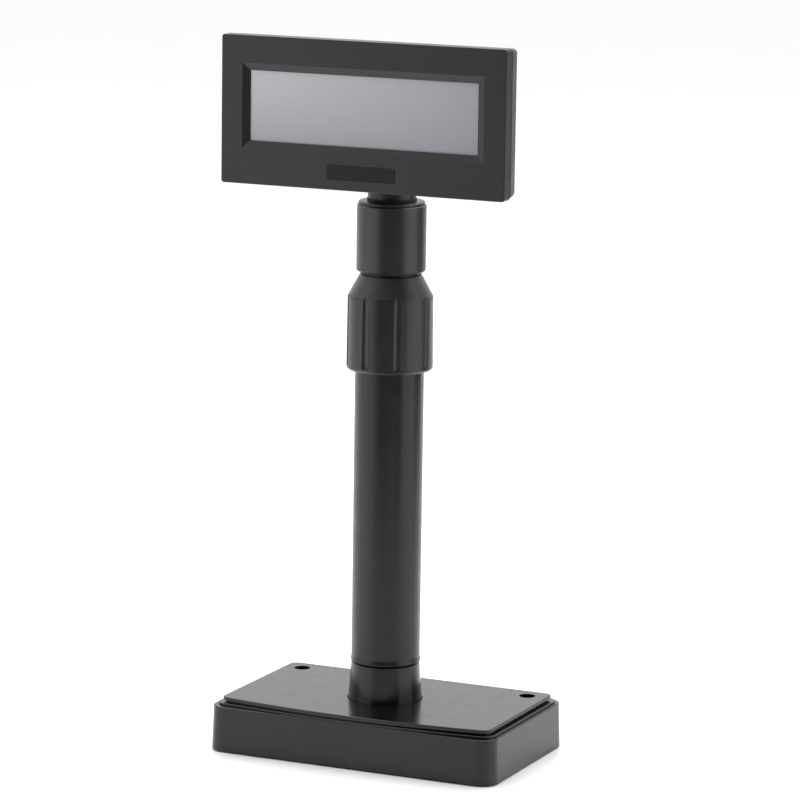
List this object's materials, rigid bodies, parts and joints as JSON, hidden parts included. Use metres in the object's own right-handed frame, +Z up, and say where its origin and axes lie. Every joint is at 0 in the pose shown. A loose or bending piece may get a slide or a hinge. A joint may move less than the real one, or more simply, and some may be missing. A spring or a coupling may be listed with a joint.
{
  "type": "customer pole display",
  "caption": "Customer display for a checkout: a wide flat display head that tilts and turns on a telescopic pole with a fluted twist collar, on a low weighted base.",
  "frame": {"origin": "on the pole's axis, on the surface the feet stand on", "axes": "+Z up along the pole, the display faces -Y, +X to the right as seen from the front"},
  "size_m": [0.181, 0.1118, 0.4185],
  "materials": {
    "shell_plastic": "fine satin texture",
    "collar_plastic": "fine satin texture",
    "tube_paint": "satin powder coat",
    "inner_tube_metal": "black anodised",
    "nylon": "natural nylon",
    "steel_plate": "zinc plated",
    "screw_steel": "zinc plated",
    "rubber": "soft matt",
    "window": "polished clear",
    "lcd": "grey-blue, unlit",
    "backlight": "white diffuser",
    "board_green": "solder mask",
    "chip_plastic": "moulded resin",
    "nameplate": "plain"
  },
  "bodies": {
    "base": {"base_cover": "shell_plastic", "base_plate": "steel_plate", "ballast_blocks": "steel_plate", "rubber_feet": "rubber", "base_screws": "screw_steel", "cable_grommet": "rubber", "pole_socket": "shell_plastic", "socket_screws": "screw_steel", "outer_tube": "tube_paint", "tube_screw": "screw_steel", "thread_adapter": "nylon", "clamp_collet": "nylon"},
    "collar": {"lock_collar": "collar_plastic"},
    "upper_pole": {"inner_tube": "inner_tube_metal", "guide_bush": "nylon", "head_sleeve": "shell_plastic", "sleeve_screw": "screw_steel"},
    "swivel": {"swivel_neck": "shell_plastic", "neck_ring": "rubber", "spring_washer": "screw_steel", "retaining_ring": "screw_steel"},
    "head": {"front_bezel": "shell_plastic", "rear_case": "shell_plastic", "nameplate": "nameplate", "display_window": "window", "window_gasket": "rubber", "lcd_frame": "screw_steel", "lcd_glass": "lcd", "backlight_panel": "backlight", "lcd_board": "board_green", "lcd_screws": "screw_steel", "controller_board": "board_green", "controller_chips": "chip_plastic", "cable_header": "chip_plastic", "board_screws": "screw_steel", "case_screws": "screw_steel", "tilt_bolt": "screw_steel", "tilt_nut": "screw_steel", "tilt_washers": "nylon", "hinge_caps": "shell_plastic"}
  },
  "joints": [
    {"name": "pole_height", "type": "slide", "parent": "base", "child": "upper_pole", "axis": [0, 0, 1], "range_m": [0, 0.12]},
    {"name": "collar_twist", "type": "hinge", "parent": "base", "child": "collar", "pos_m": [0, 0, 0.25], "axis": [0, 0, 1], "range_deg": [0, 90]},
    {"name": "head_swivel", "type": "hinge", "parent": "upper_pole", "child": "swivel", "pos_m": [0, 0, 0.3221], "axis": [0, 0, 1], "range_deg": [-160, 160]},
    {"name": "head_tilt", "type": "hinge", "parent": "swivel", "child": "head", "pos_m": [0, 0, 0.357], "axis": [-1, 0, 0], "range_deg": [-10, 40]}
  ]
}
